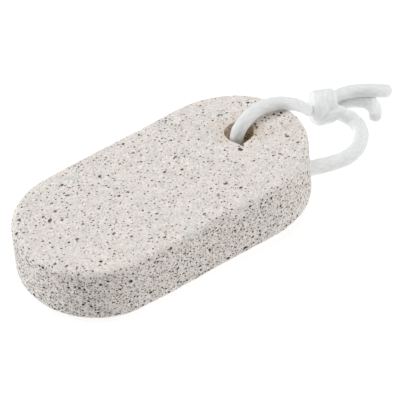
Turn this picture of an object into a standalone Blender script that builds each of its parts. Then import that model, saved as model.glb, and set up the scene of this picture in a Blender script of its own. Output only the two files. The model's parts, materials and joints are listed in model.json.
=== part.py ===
"""Foot pumice: a flat, round-ended block of pumice with a loop of soft cord tied through a hole.

The block lies on a table. Its cord leaves the bottom of the hole, runs out under the end of the
block and comes back over the top, so that end is propped up by one thickness of cord. The cord
is knotted beside the block, and the knot, the loop and both cord ends lie on the table.

Metres, +Z up. The origin is on the table under the middle of the block, and +X runs along the
block towards the end with the hole.
"""

import math
import random

import bmesh
import bpy
from mathutils import Matrix, Vector

MM = 0.001
TABLE_GAP = 0.05 * MM      # keeps rounded meshes from dipping below the table

# Block of pumice, in its own frame: centred, lying flat.
LENGTH = 100.0 * MM
WIDTH = 50.4 * MM
THICKNESS = 19.0 * MM
HOLE_END_CAP = 26.7 * MM   # length of the half-ellipse that rounds the end with the hole
FAR_END_CAP = 22.7 * MM
CAP_SEGMENTS = 22
EDGE_RADIUS = 2.8 * MM
EDGE_SEGMENTS = 3
SIDE_UNEVENNESS = 0.25 * MM
REST_PATCH = (-12.0 * MM, 4.0 * MM)   # x range of the pit-free band across the underside

# Hole, in the block's frame.
HOLE_PLACE = Vector((31.7 * MM, 3.0 * MM, 0.0))
HOLE_RADIUS = 4.9 * MM
MOUTH_FLARE = 0.7 * MM     # how much wider the worn mouths are
MOUTH_DEPTH = 0.9 * MM
MOUTH_CHIPS = 0.35 * MM
HOLE_SEGMENTS = 24

# Pits: the larger gas bubbles that the saw cut open.
PIT_SEED = 11
PIT_RADIUS = (0.55 * MM, 1.15 * MM)
PIT_STRETCH = 1.35         # along the block
PIT_SPACING = 2.7 * MM     # least distance between two pits' middles
PITS_ON_TOP = 74
PITS_BELOW = 50
PITS_ON_SIDES = 76
EDGE_MARGIN = 1.8 * MM
HOLE_MARGIN = 3.0 * MM

# The block's tilt: its far end rests on the table, its hole end on the cord.
TILT = math.radians(3.5)
BLOCK_SHIFT = -0.15 * MM   # puts the middle of the finished block over the origin

# Cord.
CORD_DIAMETER = 4.5 * MM
CORD_STEP = 0.8            # diameters between the tube's points, close for the tight bends
CORD_SIDES_LEVEL = 3
CURVE_STEPS = 24           # fine steps between two route points
LIE = CORD_DIAMETER / 2 + TABLE_GAP   # height of the cord's centre line on the table

# The route of the loop, in millimetres: from the knot over the block's end, down through the
# hole, out under the block, round on the table and back to the knot.
LOOP_ROUTE_MM = [
    (65.9, 14.7, 8.5), (62.5, 12.6, 11.8), (59.4, 10.5, 15.1), (56.6, 8.2, 18.5),
    (54.0, 6.0, 21.8), (51.5, 4.6, 24.7), (48.4, 4.2, 26.9), (44.4, 4.1, 27.7),
    (39.8, 4.3, 28.1), (35.3, 3.5, 28.2), (32.1, 2.6, 27.3), (29.8, 2.3, 25.3),
    (29.0, 2.8, 22.3), (29.2, 2.9, 18.6), (29.6, 2.8, 14.6), (30.0, 2.5, 10.8),
    (31.1, 2.0, 7.1), (33.2, 1.2, 4.1), (36.6, 0.3, 2.5), (41.0, -0.8, 2.3),
    (47.4, -2.0, 2.3), (53.8, -3.4, 2.3), (59.6, -5.1, 2.3), (64.4, -5.7, 2.3),
    (68.8, -4.7, 2.3), (72.6, -2.3, 2.3), (75.6, 0.8, 2.3), (77.6, 4.4, 2.3),
    (78.0, 9.3, 2.4),
]
LONG_TAIL_ROUTE_MM = [
    (77.7, 15.0, 8.1), (79.7, 15.2, 7.6), (82.0, 14.8, 7.3), (84.2, 13.8, 7.3),
    (86.2, 12.3, 7.5), (88.3, 11.3, 7.1), (91.1, 10.9, 5.8), (93.4, 11.7, 3.9),
    (95.3, 12.9, 2.7),
]
SHORT_TAIL_ROUTE_MM = [
    (77.3, 17.9, 2.4), (79.6, 17.6, 2.3), (82.2, 16.9, 2.3), (84.3, 15.9, 2.3),
    (85.7, 14.3, 2.3), (86.2, 12.2, 2.3), (86.0, 9.8, 2.3), (85.2, 7.3, 2.3),
    (84.1, 4.9, 2.3),
]

# Knot: two turns of cord side by side round a core, lying on the table.
KNOT_RADIUS = 5.6 * MM
KNOT_TURN_HALF_WIDTH = 2.7 * MM
KNOT_TURN_OFFSET = 1.95 * MM
KNOT_CENTRE = Vector((71.9 * MM, 15.7 * MM, KNOT_RADIUS + TABLE_GAP))
KNOT_TURNED = math.radians(-22.0)     # the core's direction, from +X
KNOT_SEGMENTS = 20
KNOT_RINGS = 10

PUMICE = ("pumice", (0.72, 0.68, 0.63), 0.95)
COTTON = ("cotton_cord", (0.80, 0.82, 0.81), 0.85)


def clear_scene():
    """Remove every object, so the part is the only thing in the file."""
    for thing in list(bpy.data.objects):
        bpy.data.objects.remove(thing, do_unlink=True)


def add_object(name, data):
    """Put a mesh or a curve in the scene under a plain name."""
    thing = bpy.data.objects.new(name, data)
    bpy.context.collection.objects.link(thing)
    return thing


def dress(thing, finish):
    """Give a piece its own matt material."""
    label, colour, roughness = finish
    material = bpy.data.materials.new(f"{thing.name}_{label}")
    material.use_nodes = True
    shader = material.node_tree.nodes["Principled BSDF"]
    shader.inputs["Base Color"].default_value = (*colour, 1.0)
    shader.inputs["Roughness"].default_value = roughness
    shader.inputs["Metallic"].default_value = 0.0
    thing.data.materials.append(material)


def mesh_from(bm, name):
    """Finish a bmesh as a mesh with its faces pointing out."""
    bmesh.ops.recalc_face_normals(bm, faces=bm.faces)
    mesh = bpy.data.meshes.new(name)
    bm.to_mesh(mesh)
    bm.free()
    return mesh


def cut(thing, cutter):
    """Subtract a hidden cutter from a piece."""
    cutter.hide_render = True
    cutter.display_type = "WIRE"
    boolean = thing.modifiers.new(f"cut_{cutter.name}", "BOOLEAN")
    boolean.operation = "DIFFERENCE"
    boolean.solver = "EXACT"
    boolean.object = cutter


# ---------------------------------------------------------------- block of pumice


def half_width(x, inset):
    """Return half the block's width at x, on its outline drawn in by inset, and 0 past its ends."""
    cap = HOLE_END_CAP if x > 0 else FAR_END_CAP
    into_cap = max(0.0, abs(x) - (LENGTH / 2 - cap)) / (cap - inset)
    return (WIDTH / 2 - inset) * math.sqrt(max(0.0, 1.0 - into_cap * into_cap))


def outline():
    """Return the block's outline, anticlockwise: two straight sides and a half-ellipse each end."""
    points = []
    for side, cap in ((1, HOLE_END_CAP), (-1, FAR_END_CAP)):
        for i in range(CAP_SEGMENTS + 1):
            turn = -math.pi / 2 + math.pi * i / CAP_SEGMENTS
            x = side * (LENGTH / 2 - cap + cap * math.cos(turn))
            points.append((x, side * WIDTH / 2 * math.sin(turn)))
    return points


def unevenness(x, y):
    """Outward push of the hand-rubbed side at a point of the outline."""
    turn = math.atan2(y / WIDTH, x / LENGTH)
    wave = math.sin(3 * turn + 0.7) + 0.6 * math.sin(7 * turn + 2.1) + 0.4 * math.sin(13 * turn)
    return SIDE_UNEVENNESS * (wave / 2.0 - 0.5)


def block_mesh():
    """Build the block without its hole and pits, lying flat about its own centre."""
    bm = bmesh.new()
    ring = []
    for x, y in outline():
        away = Vector((x, y, 0.0)).normalized() * unevenness(x, y)
        ring.append(bm.verts.new((x + away.x, y + away.y, -THICKNESS / 2)))
    base = bm.faces.new(ring)
    grown = bmesh.ops.extrude_face_region(bm, geom=[base])["geom"]
    top = [v for v in grown if isinstance(v, bmesh.types.BMVert)]
    bmesh.ops.translate(bm, verts=top, vec=(0.0, 0.0, THICKNESS))
    flat = [e for e in bm.edges if abs(e.verts[0].co.z - e.verts[1].co.z) < MM]
    bmesh.ops.bevel(bm, geom=flat, offset=EDGE_RADIUS, segments=EDGE_SEGMENTS,
                    profile=0.5, affect="EDGES")
    for x in REST_PATCH:
        everything = bm.verts[:] + bm.edges[:] + bm.faces[:]
        bmesh.ops.bisect_plane(bm, geom=everything, plane_co=(x, 0, 0), plane_no=(1, 0, 0))
    return mesh_from(bm, "pumice_stone")


def hole_cutter():
    """Build the hole's cutter: a turned shape, wider and chipped at both mouths."""
    rng = random.Random(PIT_SEED)
    half = THICKNESS / 2
    mouth = HOLE_RADIUS + MOUTH_FLARE
    over = mouth + MM
    levels = [(-half - MM, over), (-half, mouth), (-half + MOUTH_DEPTH, HOLE_RADIUS),
              (half - MOUTH_DEPTH, HOLE_RADIUS), (half, mouth), (half + MM, over)]
    bm = bmesh.new()
    rings = []
    for z, radius in levels:
        chips = MOUTH_CHIPS if radius > HOLE_RADIUS else 0.0
        ring = []
        for i in range(HOLE_SEGMENTS):
            turn = 2 * math.pi * i / HOLE_SEGMENTS
            reach = radius + rng.uniform(-chips, chips)
            ring.append(bm.verts.new((reach * math.cos(turn), reach * math.sin(turn), z)))
        rings.append(ring)
    for low, high in zip(rings, rings[1:]):
        for i in range(HOLE_SEGMENTS):
            j = (i + 1) % HOLE_SEGMENTS
            bm.faces.new((low[i], low[j], high[j], high[i]))
    bm.faces.new(list(reversed(rings[0])))
    bm.faces.new(rings[-1])
    bmesh.ops.translate(bm, verts=bm.verts, vec=HOLE_PLACE)
    return add_object("hole_cutter", mesh_from(bm, "hole_cutter"))


def clear_of(place, taken):
    """Say whether a new pit would stay clear of the pits already placed."""
    return all((place - other).length > PIT_SPACING for other in taken)


def flat_pit_places(rng, count, z, taken):
    """Choose places for pits on the top or the underside."""
    places = []
    while len(places) < count:
        x = rng.uniform(-LENGTH / 2, LENGTH / 2)
        y = rng.uniform(-WIDTH / 2, WIDTH / 2)
        place = Vector((x, y, z))
        inside = abs(y) < half_width(x, EDGE_RADIUS + EDGE_MARGIN)
        off_hole = (place - HOLE_PLACE).xy.length > HOLE_RADIUS + HOLE_MARGIN
        off_patch = z > 0 or not REST_PATCH[0] < x < REST_PATCH[1]
        if inside and off_hole and off_patch and clear_of(place, taken):
            places.append((place, Vector((0.0, 0.0, math.copysign(1.0, z)))))
            taken.append(place)
    return places


def side_pit_places(rng, count, taken):
    """Choose places for pits round the sides."""
    edge = outline()
    lengths = [(Vector(edge[i]) - Vector(edge[i - 1])).length for i in range(len(edge))]
    band = THICKNESS / 2 - EDGE_RADIUS - EDGE_MARGIN / 2
    places = []
    while len(places) < count:
        i = rng.choices(range(len(edge)), weights=lengths)[0]
        a, b = Vector(edge[i - 1]), Vector(edge[i])
        spot = a.lerp(b, rng.random())
        along = (b - a).normalized()
        out = Vector((along.y, -along.x, 0.0))
        place = Vector((*spot, rng.uniform(-band, band))) + out * unevenness(*spot)
        if clear_of(place, taken):
            places.append((place, out))
            taken.append(place)
    return places


def pit_cutter():
    """Build all the pits as one cutter of small stretched balls that don't touch."""
    rng = random.Random(PIT_SEED)
    taken = []
    places = flat_pit_places(rng, PITS_ON_TOP, THICKNESS / 2, taken)
    places += flat_pit_places(rng, PITS_BELOW, -THICKNESS / 2, taken)
    places += side_pit_places(rng, PITS_ON_SIDES, taken)
    bm = bmesh.new()
    for place, out in places:
        radius = rng.uniform(*PIT_RADIUS)
        sink = radius * rng.uniform(0.1, 0.35)
        spin = Matrix.Rotation(rng.uniform(0, 2 * math.pi), 4, out)
        stretch = Matrix.Diagonal((PIT_STRETCH, 1.0, 1.0, 1.0))
        put = Matrix.Translation(place - out * sink) @ stretch @ spin
        bmesh.ops.create_icosphere(bm, subdivisions=1, radius=radius, matrix=put)
    return add_object("pit_cutter", mesh_from(bm, "pit_cutter"))


def block_height():
    """Height of the tilted block's centre, with its far end's rounded lower edge on the table."""
    arm = LENGTH / 2 - EDGE_RADIUS
    drop = THICKNESS / 2 - EDGE_RADIUS
    return EDGE_RADIUS + arm * math.sin(TILT) + drop * math.cos(TILT)


def build_block():
    """Build the pumice block with its hole and pits, tilted as it lies on its cord."""
    block = add_object("pumice_stone", block_mesh())
    placing = Matrix.Translation((BLOCK_SHIFT, 0, block_height())) @ Matrix.Rotation(-TILT, 4, "Y")
    cutters = [hole_cutter(), pit_cutter()]
    for thing in [block, *cutters]:
        thing.matrix_world = placing
    for cutter in cutters:
        cut(block, cutter)
    dress(block, PUMICE)


# ---------------------------------------------------------------- cord


def smooth_curve(route, step):
    """Return points a step apart on a smooth curve through the route's points."""
    knots = [2 * route[0] - route[1], *route, 2 * route[-1] - route[-2]]
    fine = []
    for a, b, c, d in zip(knots, knots[1:], knots[2:], knots[3:]):
        for i in range(CURVE_STEPS):
            t = i / CURVE_STEPS
            fine.append(0.5 * (2 * b + (c - a) * t + (2 * a - 5 * b + 4 * c - d) * t * t
                               + (3 * b - a - 3 * c + d) * t ** 3))
    fine.append(route[-1])
    total = sum((q - p).length for p, q in zip(fine, fine[1:]))
    count = max(2, round(total / step))
    points, walked, wanted = [fine[0]], 0.0, total / count
    for p, q in zip(fine, fine[1:]):
        span = (q - p).length
        while walked + span >= wanted and len(points) < count:
            points.append(p.lerp(q, (wanted - walked) / span))
            wanted += total / count
        walked += span
    points.append(fine[-1])
    return points


def build_cord(name, route_mm):
    """Build one stretch of cord as a round tube along its route."""
    route = [Vector(p) * MM for p in route_mm]
    points = smooth_curve(route, CORD_STEP * CORD_DIAMETER)
    curve = bpy.data.curves.new(name, "CURVE")
    curve.dimensions = "3D"
    curve.bevel_depth = CORD_DIAMETER / 2
    curve.bevel_resolution = CORD_SIDES_LEVEL
    curve.use_fill_caps = True
    spline = curve.splines.new("POLY")
    spline.points.add(len(points) - 1)
    for spot, point in zip(spline.points, points):
        spot.co = (point.x, point.y, max(point.z, LIE), 1.0)
    spline.use_smooth = True
    dress(add_object(name, curve), COTTON)


def knot_turn(offset):
    """Build one turn of the knot as a flattened ball, offset along the core."""
    bm = bmesh.new()
    bmesh.ops.create_uvsphere(bm, u_segments=KNOT_SEGMENTS, v_segments=KNOT_RINGS,
                              radius=KNOT_RADIUS)
    bmesh.ops.scale(bm, verts=bm.verts, vec=(1.0, 1.0, KNOT_TURN_HALF_WIDTH / KNOT_RADIUS))
    bmesh.ops.rotate(bm, verts=bm.verts, matrix=Matrix.Rotation(math.pi / 2, 3, "Y"))
    bmesh.ops.translate(bm, verts=bm.verts, vec=(offset, 0.0, 0.0))
    return mesh_from(bm, "knot_turn")


def build_knot():
    """Build the knot as two turns of cord drawn tight against each other."""
    placing = Matrix.Translation(KNOT_CENTRE) @ Matrix.Rotation(KNOT_TURNED, 4, "Z")
    knot = add_object("cord_knot", knot_turn(-KNOT_TURN_OFFSET))
    other = add_object("second_turn", knot_turn(KNOT_TURN_OFFSET))
    for thing in (knot, other):
        thing.matrix_world = placing
    other.hide_render = True
    other.display_type = "WIRE"
    joined = knot.modifiers.new("join_turns", "BOOLEAN")
    joined.operation = "UNION"
    joined.solver = "EXACT"
    joined.object = other
    knot.data.shade_smooth()
    dress(knot, COTTON)


def main():
    """Build the whole part."""
    clear_scene()
    build_block()
    build_cord("cord_loop", LOOP_ROUTE_MM)
    build_knot()
    build_cord("cord_tail_long", LONG_TAIL_ROUTE_MM)
    build_cord("cord_tail_short", SHORT_TAIL_ROUTE_MM)


main()
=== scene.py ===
"""Looks of a foot pumice: an open-pored stone on a knotted loop of soft cotton cord.

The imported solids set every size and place. A skin full of real pores takes the place of the
plain block, and one long cotton cord takes the place of the plain loop, knot and two ends.
Metres throughout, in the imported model's own frame.
"""

import json
import logging
import math
from collections.abc import Sequence
from dataclasses import dataclass
from enum import Enum

import bmesh
import bpy
from mathutils import Matrix, Vector, geometry, noise


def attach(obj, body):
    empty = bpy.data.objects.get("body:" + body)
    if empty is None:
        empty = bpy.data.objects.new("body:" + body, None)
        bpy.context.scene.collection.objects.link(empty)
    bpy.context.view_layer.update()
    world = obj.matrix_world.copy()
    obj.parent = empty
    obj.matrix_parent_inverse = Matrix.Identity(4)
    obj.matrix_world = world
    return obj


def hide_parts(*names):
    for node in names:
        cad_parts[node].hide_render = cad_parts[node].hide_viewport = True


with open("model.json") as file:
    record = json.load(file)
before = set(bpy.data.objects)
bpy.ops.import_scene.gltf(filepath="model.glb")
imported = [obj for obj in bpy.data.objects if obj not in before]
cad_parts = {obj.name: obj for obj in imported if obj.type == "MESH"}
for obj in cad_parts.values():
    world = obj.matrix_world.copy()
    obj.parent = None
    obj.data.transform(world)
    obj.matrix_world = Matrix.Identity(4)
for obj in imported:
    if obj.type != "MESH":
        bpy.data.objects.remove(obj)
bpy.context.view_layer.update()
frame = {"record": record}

MM = 0.001
STONE_NODE = "pumice_stone"
CORD_NODES = ("cord_loop", "cord_knot", "cord_tail_long", "cord_tail_short")
WHITE = (1.0, 1.0, 1.0, 1.0)

Colour = tuple[float, float, float, float]
Span = tuple[float, float]
Socket = bpy.types.NodeSocket

log = logging.getLogger("pumice")


class Slot(Enum):
    """The record's material slots."""

    PUMICE = "pumice"
    COTTON = "cotton_cord"


# ---------------------------------------------------------------- node trees


class Wiring:
    """Adds nodes to a tree and wires each one's inputs in the same call."""

    def __init__(self, tree: bpy.types.NodeTree) -> None:
        """Take the tree to add to."""
        self.tree = tree

    def add(self, kind: str, inputs: dict | None = None, **settings: object) -> bpy.types.Node:
        """Add one node.

        Args:
            kind: the node's type name.
            inputs: values or sockets for its inputs, by name or number.
            settings: properties to set on the node, before its inputs.

        Returns:
            The new node.
        """
        node = self.tree.nodes.new(kind)
        for name, value in settings.items():
            setattr(node, name, value)
        for key, value in (inputs or {}).items():
            if isinstance(value, Socket):
                self.tree.links.new(value, node.inputs[key])
            else:
                node.inputs[key].default_value = value
        return node

    def calc(self, operation: str, first: object, second: object = 0.0,
             clamp: bool = False) -> Socket:
        """Work out a sum of one or two numbers.

        Args:
            operation: the Math node's operation.
            first: a number or socket.
            second: another, where the operation has two.
            clamp: whether the result stays between 0 and 1.

        Returns:
            The result's socket.
        """
        node = self.add("ShaderNodeMath", {0: first, 1: second}, operation=operation,
                        use_clamp=clamp)
        return node.outputs[0]

    def remap(self, value: object, old: Sequence, new: Sequence = (0.0, 1.0)) -> Socket:
        """Map one range of numbers onto another, clamped.

        Args:
            value: the number or socket to map.
            old: the ends of the range it comes from.
            new: the ends of the range it goes to.

        Returns:
            The result's socket.
        """
        node = self.add("ShaderNodeMapRange", dict(enumerate((value, *old, *new))))
        return node.outputs[0]

    def blend(self, factor: object, first: object, second: object, mode: str = "MIX") -> Socket:
        """Mix two colours.

        Args:
            factor: how much of the second shows.
            first: a colour or socket.
            second: another.
            mode: the Mix node's blend type.

        Returns:
            The mixed colour's socket.
        """
        node = self.add("ShaderNodeMix", {0: factor, 6: first, 7: second}, data_type="RGBA",
                        blend_type=mode)
        return node.outputs[2]

    def chance(self, span: Sequence, seed: object) -> Socket:
        """Draw a random number for each point, in a geometry tree.

        Args:
            span: the least and the most it may be.
            seed: the draw's fixed seed.

        Returns:
            The number's socket.
        """
        node = self.add("FunctionNodeRandomValue", {2: span[0], 3: span[1], 8: seed},
                        data_type="FLOAT")
        return node.outputs[1]

    def mark(self, name: str) -> Socket:
        """Read a number that the mesh carries, in a material."""
        return self.add("ShaderNodeAttribute", attribute_name=name).outputs["Fac"]

    def cloud(self, place: object, scale: float, detail: float = 3.0,
              roughness: float = 0.6) -> Socket:
        """Add a soft random pattern, mostly between 0.3 and 0.7.

        Args:
            place: the coordinates that it reads.
            scale: how fine it is, per unit of them.
            detail: how many finer layers it has.
            roughness: how strong those are.

        Returns:
            The pattern's socket.
        """
        node = self.add("ShaderNodeTexNoise", {"Vector": place, "Scale": scale,
                                               "Detail": detail, "Roughness": roughness})
        return node.outputs[0]


def new_material(name: str) -> tuple[bpy.types.Material, Wiring, bpy.types.Node]:
    """Make a material with just a Principled shader.

    Args:
        name: the material's name.

    Returns:
        The material, the wiring of its tree and its shader node.
    """
    material = bpy.data.materials.new(name)
    material.use_nodes = True
    wiring = Wiring(material.node_tree)
    return material, wiring, material.node_tree.nodes["Principled BSDF"]


def complete(w: Wiring, shader: bpy.types.Node, colour: Socket, bump: tuple[Socket, float, float],
             values: dict[str, float]) -> None:
    """Give a shader its colour, its bump and its plain values.

    Args:
        w: the material's wiring.
        shader: the Principled shader.
        colour: the colour's socket.
        bump: the bump's height, strength and depth.
        values: a value for each other input, by the input's name.
    """
    relief = w.add("ShaderNodeBump", dict(zip(("Height", "Strength", "Distance"), bump)))
    w.tree.links.new(colour, shader.inputs["Base Color"])
    w.tree.links.new(relief.outputs[0], shader.inputs["Normal"])
    for name, value in values.items():
        shader.inputs[name].default_value = value


def add_tree_modifier(piece: bpy.types.Object, tree: bpy.types.NodeTree,
                      values: dict[str, object]) -> None:
    """Put a geometry tree on a piece, and set its inputs by their identifiers.

    Args:
        piece: the object to put it on.
        tree: the geometry tree.
        values: a value for each input, by the input's name.
    """
    modifier = piece.modifiers.new(tree.name, "NODES")
    modifier.node_group = tree
    for item in tree.interface.items_tree:
        if item.item_type == "SOCKET" and item.in_out == "INPUT" and item.name in values:
            modifier[item.identifier] = values[item.name]


# ---------------------------------------------------------------- pieces


def new_piece(name: str, vertices: Sequence, faces: Sequence) -> bpy.types.Object:
    """Make an object at the origin from vertices and faces.

    Args:
        name: the piece's name.
        vertices: their places.
        faces: the vertex numbers of each face.

    Returns:
        The object, linked to the scene.
    """
    mesh = bpy.data.meshes.new(name)
    mesh.from_pydata([tuple(v) for v in vertices], [], faces)
    mesh.update()
    piece = bpy.data.objects.new(name, mesh)
    bpy.context.collection.objects.link(piece)
    return piece


def bake_modifiers(piece: bpy.types.Object) -> None:
    """Turn a piece's modifiers into plain mesh and take them off.

    Args:
        piece: the object, which keeps its name.
    """
    evaluated = piece.evaluated_get(bpy.context.evaluated_depsgraph_get())
    mesh = bpy.data.meshes.new_from_object(evaluated)
    piece.modifiers.clear()
    piece.data = mesh


def face_outwards(piece: bpy.types.Object) -> None:
    """Point the faces of a closed piece outwards.

    Args:
        piece: the object, with a mesh of its own.
    """
    bm = bmesh.new()
    bm.from_mesh(piece.data)
    bmesh.ops.recalc_face_normals(bm, faces=bm.faces)
    bm.to_mesh(piece.data)
    bm.free()


# ---------------------------------------------------------------- pumice


@dataclass(frozen=True)
class PumiceFinish:
    """Finish of sawn pumice: warm off-white, mottled, with darker bubbles and a stained hole.

    The bubbles' darkness is partly their own tone and partly painted shade, which is heavier on the
    sides. Each scale is per metre. A pair of darknesses is for the flat faces and for the sides.
    """

    warm: Colour = (0.868, 0.796, 0.746, 1.0)
    cool: Colour = (0.825, 0.791, 0.750, 1.0)
    # Bubbles' mid colour; on the painted specks and blots it stands partly for painted shade inside
    # them.
    bubble: Colour = (0.445, 0.385, 0.335, 1.0)
    # Darkest bubble colour: partly their own dark tone, and on the sides painted shade that deepens
    # the specks and pores.
    deep: Colour = (0.178, 0.132, 0.09, 1.0)
    stain: Colour = (0.80, 0.64, 0.47, 1.0)
    stain_dark: Colour = (0.52, 0.38, 0.25, 1.0)
    patch_scale: float = 170.0  # patches as broad as a fingertip
    patch_blend: Span = (0.36, 0.64)
    mottle_scale: float = 420.0
    mottle: Span = (0.93, 1.06)  # how much darker and lighter the mottling makes it
    grain_scale: float = 1500.0
    grain: Span = (0.80, 1.14)
    tone_blend: Span = (0.32, 0.68)
    stain_scale: float = 500.0
    stain_blend: Span = (0.42, 0.58)
    stain_in_pores: float = 0.5  # how much of the stain shows in the darkest pores
    # Specks and blots are painted bubbles: their darkness is partly their own tone and partly
    # painted shade inside them, with more painted shade on the sides.
    speck_scale: float = 1600.0  # bubbles too fine to cut as shapes
    speck_softness: float = 0.15
    speck_tone_and_side_shade: Span = (0.62, 0.95)
    side_speck_painted_shade: float = 0.35  # painted shade that darkens the specks further on the sides
    speck_reach: float = 0.6  # the largest one's radius, as a share of their spacing
    specks_left_out: Span = (0.40, 0.0)  # the share of them that doesn't show
    blot_scale: float = 900.0  # wider, shallower bubbles
    blot_softness: float = 0.3
    blot_tone_and_side_shade: Span = (0.42, 0.95)
    pore_tone_and_side_shade: Span = (0.86, 2.1)  # how dark the cut pores are: their own tone, with painted shade added on the sides
    grit: float = 0.6  # share of the bump that is grit, and not specks
    grit_scale: float = 2400.0
    bump_strength: float = 0.7
    bump_depth: float = 0.14 * MM
    roughness: float = 0.95
    specular: float = 0.15

    def material(self) -> bpy.types.Material:
        """Build the material.

        Returns:
            The pumice material, which reads each face's own pore value and each vertex's stain.
        """
        material, w, shader = new_material("pumice")
        place = w.add("ShaderNodeTexCoord").outputs["Object"]
        base = self.base_colour(w, place)
        # How near the side each place is: more specks there, and painted shade in the specks and
        # pores.
        side = w.mark("side")
        speck = self.specks(w, place, side, self.speck_scale, self.speck_softness)
        blot = self.specks(w, place, side, self.blot_scale, self.blot_softness)
        # Painted bubbles: partly their own tone, partly painted shade, darker on the sides.
        for dots, depth in ((blot, self.blot_tone_and_side_shade), (speck, self.speck_tone_and_side_shade)):
            base = w.blend(w.calc("MULTIPLY", dots, w.remap(side, (0.0, 1.0), depth)), base,
                           self.bubble)
        # Painted shade: on the sides the specks darken further towards the darkest colour.
        painted_side_shade = w.calc("MULTIPLY", w.calc("MULTIPLY", speck, side), self.side_speck_painted_shade)
        base = w.blend(painted_side_shade, base, self.deep)
        # The cut pores' own tone, darkened further on the sides by painted shade.
        pore = w.calc("MULTIPLY", w.mark("pore"), w.remap(side, (0.0, 1.0), self.pore_tone_and_side_shade))
        colour = w.blend(w.remap(pore, (0.0, 0.5)), base, self.bubble)
        colour = w.blend(w.remap(pore, (0.5, 1.0)), colour, self.deep)
        patchy = w.remap(w.cloud(place, self.stain_scale), self.stain_blend)
        brown = w.blend(patchy, self.stain, self.stain_dark)
        shown = w.calc("MULTIPLY", w.mark("stain"),
                       w.remap(pore, (0.0, 1.0), (1.0, self.stain_in_pores)))
        grit = w.calc("MULTIPLY", w.cloud(place, self.grit_scale), self.grit)
        bump = (w.calc("SUBTRACT", grit, speck), self.bump_strength, self.bump_depth)
        complete(w, shader, w.blend(shown, colour, brown), bump, {
            "Roughness": self.roughness, "Specular IOR Level": self.specular})
        return material

    def base_colour(self, w: Wiring, place: Socket) -> Socket:
        """Mottle the sawn surface from warm to cool, and from lighter to darker.

        Args:
            w: the material's wiring.
            place: object coordinates.

        Returns:
            The colour's socket.
        """
        broad = w.cloud(place, self.patch_scale)
        colour = w.blend(w.remap(broad, self.patch_blend), self.warm, self.cool)
        for scale, spread in ((self.mottle_scale, self.mottle), (self.grain_scale, self.grain)):
            tone = w.remap(w.cloud(place, scale), self.tone_blend, spread)
            colour = w.blend(1.0, colour, tone, "MULTIPLY")
        return colour

    def specks(self, w: Wiring, place: Socket, side: Socket, scale: float,
               softness: float) -> Socket:
        """Dot the surface with bubbles too fine to cut, as round slices of scattered balls; their
        darkness is partly the bubbles' own tone and partly painted shade inside them.

        Args:
            w: the material's wiring.
            place: object coordinates.
            side: how near the block's side each place is.
            scale: how many balls lie along a metre.
            softness: how gently they fade at their edges, as a share of their spacing.

        Returns:
            A socket that is 1 in a speck and 0 between them.
        """
        cells = w.add("ShaderNodeTexVoronoi", {"Vector": place, "Scale": scale}, feature="F1")
        fewest = w.remap(side, (0.0, 1.0), self.specks_left_out)
        draw = w.add("ShaderNodeSeparateColor", {0: cells.outputs["Color"]}).outputs[0]
        reach = w.calc("MULTIPLY", w.calc("SUBTRACT", draw, fewest), self.speck_reach)
        inner = w.calc("SUBTRACT", reach, cells.outputs["Distance"])
        return w.remap(inner, (0.0, softness))


@dataclass(frozen=True)
class PoreBatch:
    """One size of pore, as many of them as fit at its spacing and density."""

    radius: Span
    spacing: float
    density: float  # pores per square metre where they are densest
    facets: tuple[int, int]  # segments and rings of each bubble's ball
    darkness: Span
    seed: int


# The small, the middling and the big pores, in the order in which they are cut.
PORES = (
    PoreBatch((0.22 * MM, 0.33 * MM), 0.62 * MM, 900000.0, (3, 2), (0.25, 0.8), 8),
    PoreBatch((0.28 * MM, 0.42 * MM), 0.95 * MM, 400000.0, (5, 3), (0.3, 0.85), 5),
    PoreBatch((0.40 * MM, 0.60 * MM), 2.2 * MM, 30000.0, (8, 4), (0.4, 0.8), 3),
)

# How far the bore's upper mouth reaches from its axis, in millimetres, every 30 degrees from +X.
MOUTH_REACH_MM = (5.3, 5.2, 5.1, 4.9, 5.0, 4.9, 4.6, 4.7, 5.6, 4.5, 4.2, 4.2)

# Chips and old bubbles that stand out: place in the block's own frame and radius, in millimetres.
# The last six lie under the cord's arch: real pits, whose dark colour also deepens the cord's
# shadow there as painted shade.
CHIPS_MM = (
    (28.6, -1.9, 9.6, 0.7), (27.0, -3.4, 9.4, 0.80), (36.9, 1.6, 9.3, 0.6), (37.4, 3.2, 9.4, 0.5),
    (34.6, -1.0, 9.4, 0.45), (-36.0, 7.8, 9.4, 0.75), (-33.0, 5.6, 9.6, 0.55),
    (-10.6, 3.1, 9.4, 0.5), (-24.5, -9.6, 9.5, 0.6), (41.6, -7.8, 9.4, 0.6), (48.0, 1.7, 9.0, 0.5),
    (46.6, 2.2, 9.3, 0.55), (45.4, 1.6, 9.4, 0.4), (44.5, 3.2, 9.3, 0.5), (41.6, 3.7, 9.4, 0.45),
    (40.1, 3.0, 9.5, 0.4),
)

# The pore tree's inputs, each with its first value.
PORE_INPUTS = {
    "Smallest Radius": 0.2 * MM, "Largest Radius": 0.4 * MM, "Spacing": 1.0 * MM,
    "Density": 100000.0, "Segments": 6, "Rings": 4, "Lightest": 0.3, "Darkest": 1.0, "Seed": 0,
}

# How bubbles vary: how deep one sinks and how far it is stretched each way, as shares of its
# radius, and how far it is turned about each axis, in radians.
SMALLNESS = 1.6  # above 1, small bubbles are commoner than large
BUBBLE_SINK = (-0.1, 0.45)
BUBBLE_STRETCH = ((1.0, 1.45), (0.8, 1.05), (0.8, 1.05))
BUBBLE_TURN = ((0.0, 6.28), (-0.4, 0.4), (-0.4, 0.4))


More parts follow.
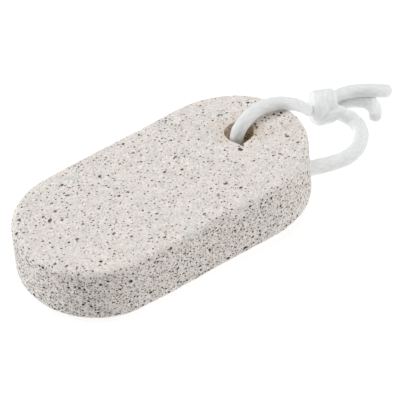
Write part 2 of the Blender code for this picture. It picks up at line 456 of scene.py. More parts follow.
@dataclass
class PumiceStone:
    """The block of pumice: round-ended, sawn flat, softly edged, bored near one end."""

    length: float = 100.0 * MM
    width: float = 50.4 * MM
    thickness: float = 19.0 * MM
    hole_end_cap: float = 26.7 * MM  # length of the half-ellipse that rounds the end
    far_end_cap: float = 22.7 * MM
    cap_steps: int = 400
    side_unevenness: float = 0.25 * MM
    side_waves: tuple = ((3, 0.7, 1.0), (7, 2.1, 0.6), (13, 0.0, 0.4))  # turns, start, strength
    roughing: float = 0.16 * MM  # how deep the sawn faces wander
    roughing_scales: Span = (160.0, 520.0)  # of the broad waves and the fine, per metre
    roughing_shares: Span = (0.5, 0.3)
    far_edge: float = 2.5 * MM  # radius of the worn edge at the far end
    side_edge: float = 1.4 * MM
    widening: Span = (0.15, 0.3)  # where it starts to widen and over what run, in lengths
    edge_steps: int = 4
    side_rows: int = 5
    columns: int = 160
    grid_step: float = 3.2 * MM  # spacing of the flat faces' vertices
    mount_spot: Span = (-4.0 * MM, -10.0 * MM)  # the record's mount, in the block's own frame
    hole_place: Span = (31.7 * MM, 3.0 * MM)
    hole_radius: float = 4.8 * MM
    hole_columns: int = 72
    hole_rows: int = 14
    hole_wander: float = 0.3 * MM
    hole_waves: float = 2.3  # how close its wall's waves are, per radius
    stain_depth: float = 0.9 * MM  # how far down the bore the brown stain is full
    halo: Span = (5.0 * MM, 0.35)  # reach and strength of the fainter stain round the mouth
    chip_stretch: tuple = (1.25, 0.85, 0.9)
    chip_wobble: Span = (1400.0, 0.5)  # its scale per metre, and its share of the radius
    chip_darkness: float = 0.72
    sharp_angle: float = math.radians(50.0)
    finish: PumiceFinish = PumiceFinish()

    def placing(self) -> Matrix:
        """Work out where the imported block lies, from its mount.

        Returns:
            The matrix that takes the block's own frame there.
        """
        mount = frame["record"]["mounts"][0]
        up = -Vector(mount["axis"]).normalized()
        along = Vector((0.0, 1.0, 0.0)).cross(up).normalized()
        turn = Matrix((along, up.cross(along), up)).transposed()
        spot = Vector((*self.mount_spot, -self.thickness / 2))
        centre = Vector(mount["pos_m"]) - turn @ spot
        return Matrix.Translation(centre) @ turn.to_4x4()

    def outline(self) -> list[tuple[Vector, Vector]]:
        """Trace the block's outline, evenly and anticlockwise.

        Returns:
            A place and an outward direction for each column.
        """
        fine = []
        for side, cap in ((1, self.hole_end_cap), (-1, self.far_end_cap)):
            for i in range(self.cap_steps):
                turn = -math.pi / 2 + math.pi * i / self.cap_steps
                x = side * (self.length / 2 - cap + cap * math.cos(turn))
                fine.append(Vector((x, side * self.width / 2 * math.sin(turn))))
        fine.append(fine[0])
        evenly = even_steps(fine, self.columns)[:-1]
        ring = []
        for i, place in enumerate(evenly):
            along = evenly[(i + 1) % self.columns] - evenly[i - 1]
            out = Vector((along.y, -along.x)).normalized()
            turn = math.atan2(place.y / self.width, place.x / self.length)
            wave = sum(much * math.sin(often * turn + start)
                       for often, start, much in self.side_waves)
            ring.append((place + place.normalized() * self.side_unevenness * (wave / 2 - 0.5), out))
        return ring

    def edge_radius(self, place: Vector) -> float:
        """Return the worn edge's radius at a place of the outline: wider at the far end."""
        start, run = self.widening
        share = min(1.0, max(0.0, (-place.x / self.length - start) / run))
        return self.side_edge + (self.far_edge - self.side_edge) * eased(share)

    def shell(self) -> bpy.types.Object:
        """Build the closed skin of the block with its bore, before any pore is cut.

        Returns:
            The skin, in the block's own frame.
        """
        vertices, faces, rings, bore = [], [], [], []
        half = self.thickness / 2
        for inwards, down, side in self.levels():
            ring = []
            for place, out in self.outline():
                radius = self.edge_radius(place)
                spot = place - out * (radius * inwards)
                ring.append(len(vertices))
                vertices.append(Vector((spot.x, spot.y, side * (half - radius * down))))
            rings.append(ring)
        for row in range(self.hole_rows + 1):
            height = half - self.thickness * row / self.hole_rows
            bore.append([len(vertices) + i for i in range(self.hole_columns)])
            vertices += [self.bore_spot(i, height) for i in range(self.hole_columns)]
        for band in (rings, bore):
            for upper, lower in zip(band, band[1:]):
                for i, _ in enumerate(upper):
                    j = (i + 1) % len(upper)
                    faces.append((upper[i], lower[i], lower[j], upper[j]))
        for outer, inner, height in ((rings[0], bore[0], half), (rings[-1], bore[-1], -half)):
            faces += self.flat_face(vertices, outer, inner, height)
        skin = new_piece("pumice_block", [self.roughened(v) for v in vertices], faces)
        face_outwards(skin)
        pore = skin.data.attributes.new("pore", "FLOAT", "FACE")
        pore.data.foreach_set("value", [0.0] * len(skin.data.polygons))
        return skin

    def levels(self) -> list[tuple[float, float, float]]:
        """List the outline's levels from the top face's rim to the underside's.

        Returns:
            How many edge radii each level lies inside the outline and from its own face, and
            which face that is: 1 for the top, -1 for the underside, or a share of the way.
        """
        quarter = [math.pi / 2 * i / self.edge_steps for i in range(self.edge_steps + 1)]
        edge = [(1 - math.sin(turn), 1 - math.cos(turn)) for turn in quarter]
        middle = [(0.0, 1.0, 1 - 2 * row / self.side_rows) for row in range(1, self.side_rows)]
        return [(*e, 1) for e in edge] + middle + [(*e, -1) for e in reversed(edge)]

    def bore_spot(self, column: int, height: float) -> Vector:
        """Find a place on the bore's wall, which wanders a little and is chipped at its mouths.

        Args:
            column: its number round the bore, from +X.
            height: its height in the block's own frame.

        Returns:
            The place.
        """
        turn = 2 * math.pi * column / self.hole_columns
        rim = MOUTH_REACH_MM if height > 0 else MOUTH_REACH_MM[::-1]
        step = column / self.hole_columns * len(rim)
        before, share = int(step), eased(step % 1.0)
        reach = (rim[before] * (1 - share) + rim[(before + 1) % len(rim)] * share) * MM
        near_mouth = abs(height) / (self.thickness / 2)
        reach = self.hole_radius + (reach - self.hole_radius) * near_mouth ** 3
        where = Vector((math.cos(turn), math.sin(turn), height / self.hole_radius))
        reach += self.hole_wander * noise.noise(where * self.hole_waves)
        return Vector((self.hole_place[0] + reach * math.cos(turn),
                       self.hole_place[1] + reach * math.sin(turn), height))

    def flat_face(self, vertices: list, outer: list, inner: list, height: float) -> list:
        """Cover the flat top or underside, leaving the bore open.

        Args:
            vertices: the skin's vertices, which this adds to.
            outer: the numbers of the rim's vertices.
            inner: the numbers of the bore's vertices.
            height: the face's height in the block's frame.

        Returns:
            The face's triangles.
        """
        numbers = outer + inner
        flat = [vertices[n].to_2d() for n in numbers]
        rim, mouth = flat[:len(outer)], flat[len(outer):]
        hole = Vector(self.hole_place)
        clear = max(MOUTH_REACH_MM) * MM + self.grid_step * 0.4
        shift = 0.5
        y = -self.width / 2
        while y < self.width / 2:
            x = -self.length / 2 + shift * self.grid_step
            while x < self.length / 2:
                spot = Vector((x, y))
                if (spot - hole).length > clear and inside(spot, rim, self.grid_step * 0.5):
                    numbers.append(len(vertices))
                    vertices.append(Vector((x, y, height)))
                    flat.append(spot)
                x += self.grid_step
            y += self.grid_step * math.sqrt(3) / 2
            shift = 0.5 - shift
        borders = []
        for start, count in ((0, len(outer)), (len(outer), len(inner))):
            borders += [(start + i, start + (i + 1) % count) for i in range(count)]
        triangles = geometry.delaunay_2d_cdt(flat, borders, [], 0, 1e-9)[2]
        kept = []
        for triangle in triangles:
            middle = sum((flat[i] for i in triangle), Vector((0.0, 0.0))) / 3
            if inside(middle, rim, 0.0) and not encloses(mouth, middle):
                kept.append(tuple(numbers[i] for i in triangle))
        return kept

    def roughened(self, spot: Vector) -> Vector:
        """Move a vertex of the skin a little inwards, by a smooth random depth.

        Args:
            spot: its place.

        Returns:
            Its new place.
        """
        broad, fine = (share * noise.noise(spot * scale)
                       for share, scale in zip(self.roughing_shares, self.roughing_scales))
        depth = 0.5 + broad + fine
        inwards = Vector((-spot.x * 0.3, -spot.y, -spot.z * 2.0)).normalized()
        return spot + inwards * self.roughing * max(0.0, depth)

    def mark_surface(self, skin: bpy.types.Object) -> None:
        """Mark how brown each vertex is, in and round the bore, and how near the side it is, which
        the material uses for denser specks and for painted shade in the pores.

        Args:
            skin: the stone, still in the block's own frame.
        """
        hole = Vector(self.hole_place)
        near_bore = self.hole_radius + self.hole_wander
        stain, side = [], []
        for vertex in skin.data.vertices:
            depth = self.thickness / 2 - abs(vertex.co.z)
            off = vertex.co.to_2d() - hole
            if off.length < near_bore:
                stain.append(min(1.0, max(self.halo[1], depth / self.stain_depth)))
                side.append(0.0)
            else:
                spread = 1.0 - (off.length - near_bore) / self.halo[0]
                lean = 0.6 + 0.4 * (off.x + off.y) / off.length
                stain.append(max(0.0, spread) * self.halo[1] * max(0.0, lean))
                # The side mark, stronger towards the far end, carries the pores' painted shade on
                # the side walls.
                toward_far_end = 0.8 - 0.4 * vertex.co.x / self.length
                side.append(min(1.0, max(0.0, depth / self.side_edge - 0.2)) * toward_far_end)
        for name, values in (("stain", stain), ("side", side)):
            marks = skin.data.attributes.new(name, "FLOAT", "POINT")
            marks.data.foreach_set("value", values)

    def chip_cutter(self) -> bpy.types.Object:
        """Build the cutter for the chips that stand out.

        Returns:
            The cutter, marked as pores, in the block's own frame.
        """
        bm = bmesh.new()
        mark = bm.faces.layers.float.new("pore")
        stretch = Matrix.Diagonal((*self.chip_stretch, 1.0))
        for x, y, z, radius in CHIPS_MM:
            put = Matrix.Translation(Vector((x, y, z)) * MM)
            put @= Matrix.Rotation(x + y, 4, "Z") @ stretch
            ball = bmesh.ops.create_icosphere(bm, subdivisions=2, radius=radius * MM)["verts"]
            for vertex in ball:
                wobble = noise.noise(vertex.co * self.chip_wobble[0] + Vector((x, y, 0.0)))
                vertex.co = put @ (vertex.co * (1.0 + self.chip_wobble[1] * wobble))
        for face in bm.faces:
            face[mark] = self.chip_darkness
        cutter = new_piece("chips", [], [])
        bm.to_mesh(cutter.data)
        bm.free()
        return cutter

    def build(self) -> bpy.types.Object:
        """Returns:
            The stone.
        """
        stone = self.shell()
        material = self.finish.material()
        stone.data.materials.append(material)
        chips = self.chip_cutter()
        chips.data.materials.append(material)
        cut = stone.modifiers.new("cut_chips", "BOOLEAN")
        cut.operation, cut.solver, cut.object = "DIFFERENCE", "MANIFOLD", chips
        tree = pore_tree(material)
        for batch in PORES:
            add_tree_modifier(stone, tree, dict(zip(PORE_INPUTS, (
                *batch.radius, batch.spacing, batch.density, *batch.facets, *batch.darkness,
                batch.seed))))
        bake_modifiers(stone)
        bpy.data.objects.remove(chips, do_unlink=True)
        self.mark_surface(stone)
        stone.data.transform(self.placing())
        stone.data.shade_smooth()
        stone.data.set_sharp_from_angle(angle=self.sharp_angle)
        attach(stone, "root")
        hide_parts(STONE_NODE)
        return stone


def pore_tree(material: bpy.types.Material) -> bpy.types.NodeTree:
    """Draw up the tree that cuts one batch of bubbles into a closed skin.

    Args:
        material: the finish of the cut skin.

    Returns:
        The geometry tree.
    """
    tree = bpy.data.node_groups.new("cut_pores", "GeometryNodeTree")
    for way in ("INPUT", "OUTPUT"):
        tree.interface.new_socket("Geometry", in_out=way, socket_type="NodeSocketGeometry")
    for name, first in PORE_INPUTS.items():
        kind = "NodeSocketInt" if isinstance(first, int) else "NodeSocketFloat"
        tree.interface.new_socket(name, in_out="INPUT", socket_type=kind).default_value = first
    w = Wiring(tree)
    take, result = w.add("NodeGroupInput").outputs, w.add("NodeGroupOutput")
    marked_before = w.add("GeometryNodeInputNamedAttribute", {0: "pore"}, data_type="FLOAT")
    sawn = w.add("FunctionNodeCompare", {0: marked_before.outputs[0], 1: 0.01}, data_type="FLOAT",
                 operation="LESS_THAN").outputs[0]
    points = w.add("GeometryNodeDistributePointsOnFaces", {
        "Mesh": take["Geometry"], "Selection": sawn, "Distance Min": take["Spacing"],
        "Density Max": take["Density"], "Density Factor": crowding(w), "Seed": take["Seed"]},
        distribute_method="POISSON")
    draw = w.calc("POWER", w.chance((0.0, 1.0), take["Seed"]), SMALLNESS)
    radius = w.remap(draw, (0.0, 1.0), (take["Smallest Radius"], take["Largest Radius"]))
    sink = w.calc("MULTIPLY", radius, w.chance(BUBBLE_SINK, 21))
    inwards = w.add("ShaderNodeVectorMath", {0: points.outputs["Normal"],
                                             "Scale": w.calc("MULTIPLY", sink, -1.0)},
                    operation="SCALE").outputs[0]
    moved = w.add("GeometryNodeSetPosition", {"Geometry": points.outputs["Points"],
                                              "Offset": inwards}).outputs[0]
    ball = w.add("GeometryNodeMeshUVSphere", {"Radius": 1.0, "Segments": take["Segments"],
                                              "Rings": take["Rings"]}).outputs["Mesh"]
    scale = w.add("ShaderNodeCombineXYZ", {
        axis: w.calc("MULTIPLY", radius, w.chance(span, 31 + axis))
        for axis, span in enumerate(BUBBLE_STRETCH)}).outputs[0]
    turn = w.add("ShaderNodeCombineXYZ", {
        axis: w.chance(span, 41 + axis) for axis, span in enumerate(BUBBLE_TURN)}).outputs[0]
    bubbles = w.add("GeometryNodeInstanceOnPoints", {
        "Points": moved, "Instance": ball, "Rotation": turn, "Scale": scale}).outputs[0]
    shade = w.chance((take["Lightest"], take["Darkest"]), 51)
    shaded = w.add("GeometryNodeStoreNamedAttribute", {
        "Geometry": bubbles, "Name": "shade", "Value": shade}, data_type="FLOAT",
        domain="INSTANCE").outputs[0]
    real = w.add("GeometryNodeRealizeInstances", {"Geometry": shaded}).outputs[0]
    shade = w.add("GeometryNodeInputNamedAttribute", {0: "shade"}, data_type="FLOAT").outputs[0]
    marked = w.add("GeometryNodeStoreNamedAttribute", {
        "Geometry": real, "Name": "pore", "Value": shade}, data_type="FLOAT",
        domain="FACE").outputs[0]
    cutter = w.add("GeometryNodeRemoveAttribute", {"Geometry": marked, "Name": "shade"}).outputs[0]
    skin = w.add("GeometryNodeMeshBoolean", {"Mesh 1": take["Geometry"], "Mesh 2": cutter},
                 operation="DIFFERENCE", solver="MANIFOLD").outputs[0]
    whole = w.add("GeometryNodeRealizeInstances", {"Geometry": skin}).outputs[0]
    dressed = w.add("GeometryNodeSetMaterial", {"Geometry": whole, "Material": material})
    tree.links.new(dressed.outputs[0], result.inputs[0])
    return tree


# How crowded the pores are: the scale per metre of their patches, stretched into streaks, and
# the share of the full density in the sparsest patch and on the top face.
PATCH_SCALE = 150.0
PATCH_STRETCH = (0.5, 1.0, 1.6)
SPARSEST_PATCH = 0.3
TOP_FACE_SHARE = 0.6
UNDERSIDE_SHARE = 0.6  # of what the top face has


def crowding(w: Wiring) -> Socket:
    """Work out how crowded the pores are: in streaky patches, and sparser on the flat faces.

    Args:
        w: the wiring of the tree that cuts them.

    Returns:
        A socket with the share of the full density at each place.
    """
    place = w.add("GeometryNodeInputPosition").outputs[0]
    streaks = w.add("ShaderNodeVectorMath", {0: place, 1: PATCH_STRETCH}, operation="MULTIPLY")
    cloud = w.cloud(streaks.outputs[0], PATCH_SCALE, 2.0, 0.5)
    patches = w.remap(cloud, (0.32, 0.50), (SPARSEST_PATCH, 1.0))
    facing = w.add("ShaderNodeSeparateXYZ", {0: w.add("GeometryNodeInputNormal").outputs[0]})
    facing_up = facing.outputs[2]
    flat = w.remap(w.calc("ABSOLUTE", facing_up), (0.3, 0.95), (1.0, TOP_FACE_SHARE))
    below = w.remap(facing_up, (-0.98, -0.9), (UNDERSIDE_SHARE, 1.0))
    return w.calc("MULTIPLY", w.calc("MULTIPLY", patches, flat), below)


def eased(share: float) -> float:
    """Ease a share from 0 to 1 in and out."""
    return share * share * (3 - 2 * share)


def inside(spot: Vector, rim: Sequence[Vector], margin: float) -> bool:
    """Say whether a place is inside a convex rim.

    Args:
        spot: the place.
        rim: the rim's corners, anticlockwise.
        margin: how far inside it has to be.

    Returns:
        Whether it is.
    """
    for i, b in enumerate(rim):
        a = rim[i - 1]
        along = b - a
        if along.cross(spot - a) < margin * along.length:
            return False
    return True


def encloses(loop: Sequence[Vector], spot: Vector) -> bool:
    """Say whether a closed loop of any shape goes round a place.

    Args:
        loop: the loop's corners.
        spot: the place.

    Returns:
        Whether it does.
    """
    crossings = 0
    for i, b in enumerate(loop):
        a = loop[i - 1]
        if (a.y > spot.y) != (b.y > spot.y):
            crossings += spot.x < a.x + (b.x - a.x) * (spot.y - a.y) / (b.y - a.y)
    return crossings % 2 == 1


def even_steps(fine: Sequence[Vector], count: int) -> list[Vector]:
    """Space points evenly along a line.

    Args:
        fine: the line, as many close points.
        count: how many equal steps to make.

    Returns:
        The points, one more than the steps.
    """
    total = sum((q - p).length for p, q in zip(fine, fine[1:]))
    points, walked = [fine[0].copy()], 0.0
    wanted = total / count
    for p, q in zip(fine, fine[1:]):
        span = (q - p).length
        while walked + span >= wanted and len(points) < count:
            points.append(p.lerp(q, (wanted - walked) / span))
            wanted += total / count
        walked += span
    points.append(fine[-1].copy())
    return points


# ---------------------------------------------------------------- cord

# The cord's route: place and radius in millimetres. The loop goes from the knot over the block's
# end, down through the hole, out under the block and round on the table, back to the knot. Each
# tail goes from the knot to its tip.
LOOP_ROUTE_MM = (
    (66.4, 16.0, 6.6, 1.80), (62.7, 12.5, 11.5, 1.80), (59.4, 10.5, 15.1, 1.84),
    (56.6, 8.2, 18.5, 1.88), (54.0, 5.7, 21.6, 1.94), (51.2, 4.0, 24.3, 2.00),
    (48.0, 3.4, 26.5, 2.08), (44.4, 4.1, 27.7, 2.10), (39.8, 4.3, 28.1, 2.10),
    (35.3, 3.5, 28.2, 2.12), (32.1, 2.6, 27.3, 2.15), (29.8, 2.3, 25.3, 2.15),
    (29.0, 2.5, 22.3, 2.10), (29.2, 2.9, 18.6, 1.95), (29.6, 2.8, 14.6, 1.85),
    (30.0, 2.5, 10.8, 1.85), (31.1, 2.0, 7.1, 1.90), (33.2, 1.2, 4.1, 2.10),
    (36.6, 0.3, 2.5, 2.30), (41.0, -0.8, 2.3, 2.40), (47.4, -2.0, 2.3, 2.40),
    (53.8, -3.4, 2.3, 2.40), (59.6, -5.1, 2.3, 2.40), (64.4, -5.7, 2.3, 2.40),
    (68.8, -4.7, 2.3, 2.40), (72.6, -2.3, 2.3, 2.40), (75.6, 0.8, 2.3, 2.40),
    (76.8, 3.1, 2.4, 2.40), (77.6, 6.3, 2.6, 2.40), (77.0, 8.5, 3.2, 2.38),
    (75.6, 10.1, 4.1, 2.32),
)
LONG_TAIL_ROUTE_MM = (
    (77.7, 15.0, 8.1, 1.95), (79.7, 15.2, 7.6, 2.05), (82.0, 14.8, 7.3, 2.10),
    (84.2, 13.8, 7.3, 2.10), (86.2, 12.3, 7.5, 2.10), (88.3, 11.3, 7.1, 2.10),
    (91.1, 10.9, 5.8, 2.10), (93.0, 11.5, 4.3, 2.05), (94.6, 12.5, 3.2, 2.00),
)
SHORT_TAIL_ROUTE_MM = (
    (77.7, 17.5, 2.6, 2.30), (79.8, 16.6, 3.0, 2.40), (81.7, 15.5, 3.5, 2.50),
    (83.7, 14.2, 3.7, 2.50), (85.4, 12.8, 3.6, 2.50), (86.5, 11.0, 3.3, 2.45),
    (86.6, 9.0, 2.8, 2.30), (86.0, 7.2, 2.4, 2.10), (84.7, 5.6, 2.3, 1.95),
    (83.5, 4.3, 2.3, 1.75),
)

# Inside the knot: along its core, to its front and up, from its middle, and the cord's radius.
KNOT_CORE_MM = ((2.6, -0.8, 1.3, 1.9), (0.0, 0.0, 0.0, 1.8), (-2.6, 0.6, 0.2, 1.8))
KNOT_WRAP_MM = (
    (3.8, 3.7, -0.2, 2.28), (2.0, 3.9, -0.5, 2.35), (0.4, 3.4, -1.3, 2.60),
    (-1.1, 2.3, -2.0, 2.80), (-1.7, 0.3, -2.7, 2.75), (-1.7, -2.0, -2.4, 2.55),
    (-1.5, -3.2, -0.3, 2.45), (-1.2, -2.6, 1.9, 2.45), (-1.0, -0.7, 3.1, 2.50),
    (-1.1, 1.3, 3.0, 2.55), (-1.6, 2.8, 1.7, 2.60), (-2.0, 3.1, 0.0, 2.50),
    (-1.1, 2.3, -1.4, 2.20), (0.3, 0.9, -2.1, 2.10), (1.3, -0.9, -2.5, 2.00),
    (1.9, -2.6, -2.2, 2.05), (2.0, -3.5, -0.3, 2.05), (1.9, -2.8, 2.1, 2.05),
    (1.85, -0.8, 3.6, 2.05), (1.85, 1.5, 3.3, 2.05), (1.9, 2.8, 1.8, 2.05),
    (2.2, 2.5, -0.3, 2.00), (2.8, 1.1, -2.2, 2.00), (3.3, -0.9, -3.2, 2.10),
    (3.7, -2.7, -3.3, 2.20),
)


@dataclass(frozen=True)
class CottonFinish:
    """Finish of soft white cotton: cool white yarn with fine fibres laid along it, and painted
    shade in the braid's grooves.
    """

    yarn: Colour = (0.945, 0.955, 0.948, 1.0)
    # Darker cotton: the fibres' and the mottling's own tone, and painted shade in the braid's
    # grooves.
    groove: Colour = (0.77, 0.79, 0.785, 1.0)
    fibres_round: float = 6.0  # how close the lengthwise fibres lie
    fibres_along: float = 4.0  # and how short they are
    fibre_blend: Span = (0.35, 0.7)
    fibre_shade: float = 0.5
    groove_painted_shade: float = 0.35
    mottle_scale: float = 420.0  # per metre
    mottle_blend: Span = (0.4, 0.7)
    mottle_shade: float = 0.25
    bump_strength: float = 0.6
    bump_depth: float = 0.10 * MM
    roughness: float = 0.95
    specular: float = 0.1
    sheen: float = 0.25
    sheen_roughness: float = 0.6

    def material(self) -> bpy.types.Material:
        """Build the material.

        Returns:
            The cotton material, patterned along the cord's own UV map.
        """
        material, w, shader = new_material("cotton")
        place = w.add("ShaderNodeTexCoord")
        split = w.add("ShaderNodeSeparateXYZ", {0: place.outputs["UV"]})
        around = w.calc("MULTIPLY", split.outputs[0], 2 * math.pi)
        rolled = w.add("ShaderNodeCombineXYZ", {
            0: w.calc("MULTIPLY", w.calc("COSINE", around), self.fibres_round),
            1: w.calc("MULTIPLY", w.calc("SINE", around), self.fibres_round),
            2: w.calc("MULTIPLY", split.outputs[1], self.fibres_along)}).outputs[0]
        fibres = w.cloud(rolled, 1.0, 4.0, 0.65)
        mottle = w.cloud(place.outputs["Object"], self.mottle_scale, 2.0, 0.5)
        # The braid's grooves are darkened as painted shade; the fibres and the mottling are the
        # cotton's own tone.
        shade = w.calc("ADD", w.calc("MULTIPLY", w.mark("groove"), self.groove_painted_shade),
                       w.remap(fibres, self.fibre_blend, (0.0, self.fibre_shade)))
        shade = w.calc("ADD", shade, w.remap(mottle, self.mottle_blend, (0.0, self.mottle_shade)),
                       clamp=True)
        bump = (fibres, self.bump_strength, self.bump_depth)
        complete(w, shader, w.blend(shade, self.yarn, self.groove), bump, {
            "Roughness": self.roughness, "Specular IOR Level": self.specular,
            "Sheen Weight": self.sheen, "Sheen Roughness": self.sheen_roughness})
        return material


def laid(points: Sequence[tuple]) -> list[tuple[Vector, float, float]]:
    """Turn a table of route points into metres, none of them pressed."""
    return [(Vector(p[:3]) * MM, p[3] * MM, 0.0) for p in points]


@dataclass
class CottonCord:
    """One length of soft braided cotton cord, knotted round itself into a loop."""

    diameter: float = 4.5 * MM
    entry_points: int = 2  # points of the knot's turns before it is pressed
    squareness: float = 3.2  # of the knot's pressed turns, 2 being round
    pressed_width: float = 1.05
    pressed_height: float = 0.93
    knot_centre: tuple = (71.9 * MM, 15.7 * MM, 5.65 * MM)
    knot_turned: float = -22.0  # degrees, from +X to the knot's core
    ring_step: float = 0.3 * MM
    sides: int = 60
    curve_steps: int = 24
    tip_rounding: float = 1.3 * MM
    tip_slant: Span = (5.0 * MM, 0.7)  # length and slope of the long end's slanting cut
    tip_up: tuple = (0.36, 0.54, 0.76)  # the side from which it is cut
    table_gap: float = 0.03 * MM
    carriers: int = 8  # yarns of the braid that run each way
    braid_pitch: float = 3.4 * MM
    relief: float = 0.11 * MM
    relief_middle: float = 0.6  # the height of the braid that leaves the radius as it is
    softness: float = 0.04  # how much the cord's radius wanders, as a share of it
    softness_scale: float = 350.0  # per metre
    finish: CottonFinish = CottonFinish()

    def knot_point(self, spot: tuple[float, float, float]) -> Vector:
        """Turn a place inside the knot into a place in the model.

        Args:
            spot: millimetres along the core, to the front and up, from the knot's middle.

        Returns:
            The place, in metres.
        """
        turned = math.radians(self.knot_turned)
        along = Vector((math.cos(turned), math.sin(turned), 0.0))
        front = Vector((math.sin(turned), -math.cos(turned), 0.0))
        up = Vector((0.0, 0.0, 1.0))
        return Vector(self.knot_centre) + (along * spot[0] + front * spot[1] + up * spot[2]) * MM

    def route(self) -> list[tuple[Vector, float, float]]:
        """Lay out the whole cord, from the long end's tip to the short end's.

        Returns:
            The route's places, each with the cord's radius there and how hard it is pressed
            against its neighbours, from 0 to 1.
        """
        core = [(self.knot_point(p[:3]), p[3] * MM, 0.0) for p in KNOT_CORE_MM]
        wrap = [(self.knot_point(p[:3]), p[3] * MM, 1.0 if i >= self.entry_points else 0.0)
                for i, p in enumerate(KNOT_WRAP_MM)]
        long_tail = laid(LONG_TAIL_ROUTE_MM[::-1])
        loop, short_tail = laid(LOOP_ROUTE_MM), laid(SHORT_TAIL_ROUTE_MM)
        return long_tail + core + loop + wrap + short_tail

    def centre_line(self) -> tuple[list[Vector], list[float], list[float]]:
        """Space the cord's rings evenly along a smooth curve through the route.

        Returns:
            The rings' centres, their radii and how hard each is pressed.
        """
        knots = [Vector((*place, radius, press * MM)) for place, radius, press in self.route()]
        knots = [2 * knots[0] - knots[1], *knots, 2 * knots[-1] - knots[-2]]
        fine = []
        for a, b, c, d in zip(knots, knots[1:], knots[2:], knots[3:]):
            for i in range(self.curve_steps):
                t = i / self.curve_steps
                fine.append(0.5 * (2 * b + (c - a) * t + (2 * a - 5 * b + 4 * c - d) * t * t
                                   + (3 * b - a - 3 * c + d) * t ** 3))
        fine.append(knots[-2])
        total = sum((q - p).length for p, q in zip(fine, fine[1:]))
        points = even_steps(fine, round(total / self.ring_step))
        radii = [p[3] for p in points]
        presses = [min(1.0, max(0.0, p[4] / MM)) for p in points]
        centres = [Vector((p[0], p[1], max(p[2], r + self.table_gap)))
                   for p, r in zip(points, radii)]
        return centres, radii, presses

    def pressed_reach(self, out: Vector, ahead: Vector, press: float) -> float:
        """Return how far a pressed ring reaches one way, as a share of a round ring's radius.

        Args:
            out: the direction, away from the ring's centre.
            ahead: the direction along the cord.
            press: how hard it is pressed against the turns beside it.

        Returns:
            The share: the ring becomes a rounded block with its flat sides along the core.
        """
        turned = math.radians(self.knot_turned)
        core = Vector((math.cos(turned), math.sin(turned), 0.0))
        core -= ahead * core.dot(ahead)
        if press <= 0.0 or core.length < 0.2:
            return 1.0
        beside = abs(out.dot(core.normalized()))
        over = math.sqrt(max(0.0, 1.0 - beside * beside))
        power = 2.0 + (self.squareness - 2.0) * press
        wide = 1.0 + (self.pressed_width - 1.0) * press
        flat = 1.0 + (self.pressed_height - 1.0) * press
        return ((beside / wide) ** power + (over / flat) ** power) ** (-1.0 / power)

    def braid(self, around: float, along: float) -> float:
        """Return how far the braid stands out at a place, from 0 in a groove to 1 on a yarn.

        Args:
            around: the place round the cord, in turns.
            along: the place along it, in metres.

        Returns:
            The relief.
        """
        left = around * self.carriers + along / self.braid_pitch
        right = around * self.carriers - along / self.braid_pitch
        return math.sqrt(abs(math.sin(math.pi * left) * math.sin(math.pi * right)))

    def ring(self, centre: Vector, ahead: Vector, side: Vector, size: Span,
             run: Span) -> tuple[list[Vector], list[float]]:
        """Place one ring of the tube.

        Args:
            centre: its centre.
            ahead: the direction along the cord.
            side: the direction of its first vertex.
            size: its radius and how hard it is pressed.
            run: how far along the cord it is from the long end's tip and from the short end's.

        Returns:
            Its vertices and how deep in a groove of the braid each of them is.
        """
        other = ahead.cross(side)
        to_tip = min(run) / self.tip_rounding
        shrink = math.sqrt(max(0.02, 1.0 - max(0.0, 1.0 - to_tip) ** 2))
        lean = max(0.0, 1.0 - run[0] / self.tip_slant[0])
        places, grooves = [], []
        for j in range(self.sides):
            turn = 2 * math.pi * j / self.sides
            height = self.braid(j / self.sides, run[0])
            soft = noise.noise(centre * self.softness_scale
                               + Vector((math.cos(turn), math.sin(turn), 0.0)))
            out = side * math.cos(turn) + other * math.sin(turn)
            reach = size[0] * self.pressed_reach(out, ahead, size[1])
            reach += size[0] * self.softness * soft + self.relief * (height - self.relief_middle)
            slant = ahead * -out.dot(Vector(self.tip_up)) * self.tip_slant[1] * lean
            places.append(centre + (out + slant) * reach * shrink)
            grooves.append(1.0 - height)
        return places, grooves

    def skin(self, count: int) -> tuple[list[tuple], list[tuple]]:
        """Join the rings into a tube and close its ends.

        Args:
            count: how many rings there are.

        Returns:
            The faces' vertex numbers, and the side and ring number of each of their corners.
        """
        faces, corners = [], []
        for i in range(count - 1):
            a, b = i * self.sides, (i + 1) * self.sides
            for j in range(self.sides):
                k = (j + 1) % self.sides
                faces.append((a + j, a + k, b + k, b + j))
                corners += [(j, i), (j + 1, i), (j + 1, i + 1), (j, i + 1)]
        for end, i in enumerate((0, count - 1)):
            for j in range(self.sides):
                k = (j + 1) % self.sides
                faces.append((i * self.sides + j, i * self.sides + k, count * self.sides + end))
                corners += [(j, i), (j + 1, i), (j + 0.5, i)]
        return faces, corners

    def tube(self) -> tuple[bpy.types.Object, list[Vector]]:
        """Build the cord's tube with its braid.

        Returns:
            The cord and the centres of all its rings.
        """
        centres, radii, presses = self.centre_line()
        walked = [0.0]
        for p, q in zip(centres, centres[1:]):
            walked.append(walked[-1] + (q - p).length)
        vertices, grooves = [], []
        side = Vector((0.0, 0.0, 1.0))
        for i, centre in enumerate(centres):
            ahead = centres[min(i + 1, len(centres) - 1)] - centres[max(i - 1, 0)]
            ahead.normalize()
            side = (side - ahead * side.dot(ahead)).normalized()
            places, depths = self.ring(centre, ahead, side, (radii[i], presses[i]),
                                       (walked[i], walked[-1] - walked[i]))
            vertices += places
            grooves += depths
        faces, corners = self.skin(len(centres))
        cord = new_piece("cotton_cord", [*vertices, centres[0], centres[-1]], faces)
        flat = []
        for j, i in corners:
            flat += [j / self.sides, walked[i] / (math.pi * self.diameter)]
        cord.data.uv_layers.new(name="along_cord").data.foreach_set("uv", flat)
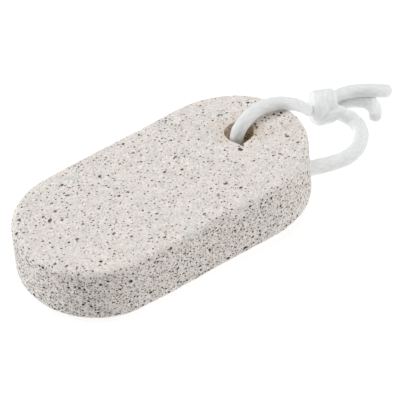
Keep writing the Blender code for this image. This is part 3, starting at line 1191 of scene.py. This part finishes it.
        # How deep in the braid's grooves each vertex lies, which the cotton darkens as painted
        # shade.
        groove = cord.data.attributes.new("groove", "FLOAT", "POINT")
        groove.data.foreach_set("value", [*grooves, 0.0, 0.0])
        face_outwards(cord)
        cord.data.shade_smooth()
        return cord, centres

    def build(self) -> bpy.types.Object:
        """Returns:
            The cord.
        """
        cord, centres = self.tube()
        cord.data.materials.append(self.finish.material())
        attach(cord, "root")
        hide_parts(*CORD_NODES)
        return cord


# ---------------------------------------------------------------- studio


@dataclass(frozen=True)
class SoftLight:
    """One soft square light aimed at the stone."""

    name: str
    place: tuple
    size: float  # length of its side
    power: float  # watts
    tint: tuple = WHITE[:3]

    def build(self) -> None:
        """Hang the light."""
        data = bpy.data.lights.new(self.name, "AREA")
        data.shape = "SQUARE"
        data.size, data.energy, data.color = self.size, self.power, self.tint
        lamp = bpy.data.objects.new(self.name, data)
        lamp.location = self.place
        lamp.rotation_euler = (-Vector(self.place)).to_track_quat("-Z", "Y").to_euler()
        bpy.context.collection.objects.link(lamp)


@dataclass
class Studio:
    """Plain white floor, soft light and a long lens from the stone's blunt end."""

    aim: tuple = (0.58 * MM, 0.0, 0.0)
    distance: float = 1.5
    azimuth: float = 34.03  # degrees from +Y towards +X that the lens looks
    elevation: float = 40.38
    roll: float = 1.99
    pixels_per_mm: float = 3.264
    aim_pixel: Span = (167.23, 235.02)
    frame_pixels: int = 400
    sensor_width: float = 36.0
    clip: Span = (0.05, 20.0)
    floor_size: float = 6.0
    floor_colour: Colour = (0.35, 0.35, 0.35, 1.0)
    floor_roughness: float = 0.9
    floor_glow: float = 0.75  # keeps it white all round the soft shadow
    world_strength: float = 0.06
    lights: tuple = (
        SoftLight("overhead_light", (0.0, 0.1, 1.3), 1.3, 14.0),
        SoftLight("left_light", (-1.05, 1.0, 0.42), 0.8, 11.0, (0.93, 0.97, 1.0)),
        SoftLight("right_light", (1.1, -0.75, 0.5), 0.9, 7.2),
    )

    def camera(self) -> None:
        """Set up the camera."""
        e, t = math.radians(self.elevation), math.radians(self.azimuth)
        look = Vector((math.sin(t) * math.cos(e), math.cos(t) * math.cos(e), -math.sin(e)))
        right = Vector((math.cos(t), -math.sin(t), 0.0))
        up = right.cross(look)
        roll = Matrix.Rotation(math.radians(self.roll), 3, look)
        right, up = roll @ right, roll @ up
        place = Vector(self.aim) - look * self.distance
        lens_pixels = self.pixels_per_mm * self.distance * 1000
        half = self.frame_pixels / 2
        to_middle = look + right * (half - self.aim_pixel[0]) / lens_pixels
        to_middle -= up * (half - self.aim_pixel[1]) / lens_pixels
        look = to_middle.normalized()
        right = look.cross(up).normalized()
        up = right.cross(look)
        data = bpy.data.cameras.new("camera")
        data.sensor_width = self.sensor_width
        data.lens = lens_pixels / self.frame_pixels * data.sensor_width
        data.clip_start, data.clip_end = self.clip
        camera = bpy.data.objects.new("camera", data)
        turn = Matrix((right, up, -look)).transposed()
        camera.matrix_world = Matrix.Translation(place) @ turn.to_4x4()
        bpy.context.collection.objects.link(camera)
        bpy.context.scene.camera = camera

    def floor(self) -> None:
        """Lay the floor."""
        half = self.floor_size / 2
        corners = [(-half, -half, 0.0), (half, -half, 0.0), (half, half, 0.0), (-half, half, 0.0)]
        floor = new_piece("floor", corners, [(0, 1, 2, 3)])
        material, _, shader = new_material("white_floor")
        for name, value in (("Base Color", self.floor_colour), ("Roughness", self.floor_roughness),
                            ("Emission Color", WHITE), ("Emission Strength", self.floor_glow)):
            shader.inputs[name].default_value = value
        floor.data.materials.append(material)

    def build(self) -> None:
        """Set up the floor, the lights, the world and the way the picture is shown."""
        self.floor()
        for light in self.lights:
            light.build()
        world = bpy.data.worlds.new("studio")
        world.use_nodes = True
        back = world.node_tree.nodes["Background"]
        back.inputs["Color"].default_value = WHITE
        back.inputs["Strength"].default_value = self.world_strength
        bpy.context.scene.world = world
        bpy.context.scene.view_settings.view_transform = "Standard"


def main() -> None:
    """Build every piece in order, then the studio."""
    logging.basicConfig(level=logging.INFO, format="%(name)s %(message)s")
    studio = Studio()
    studio.camera()
    for sub_assembly in (CottonCord(), PumiceStone()):
        piece = sub_assembly.build()
        count = sum(len(polygon.vertices) - 2 for polygon in piece.data.polygons)
        log.info("%s: %d triangles", piece.name, count)
    studio.build()


if __name__ == "__main__":
    main()
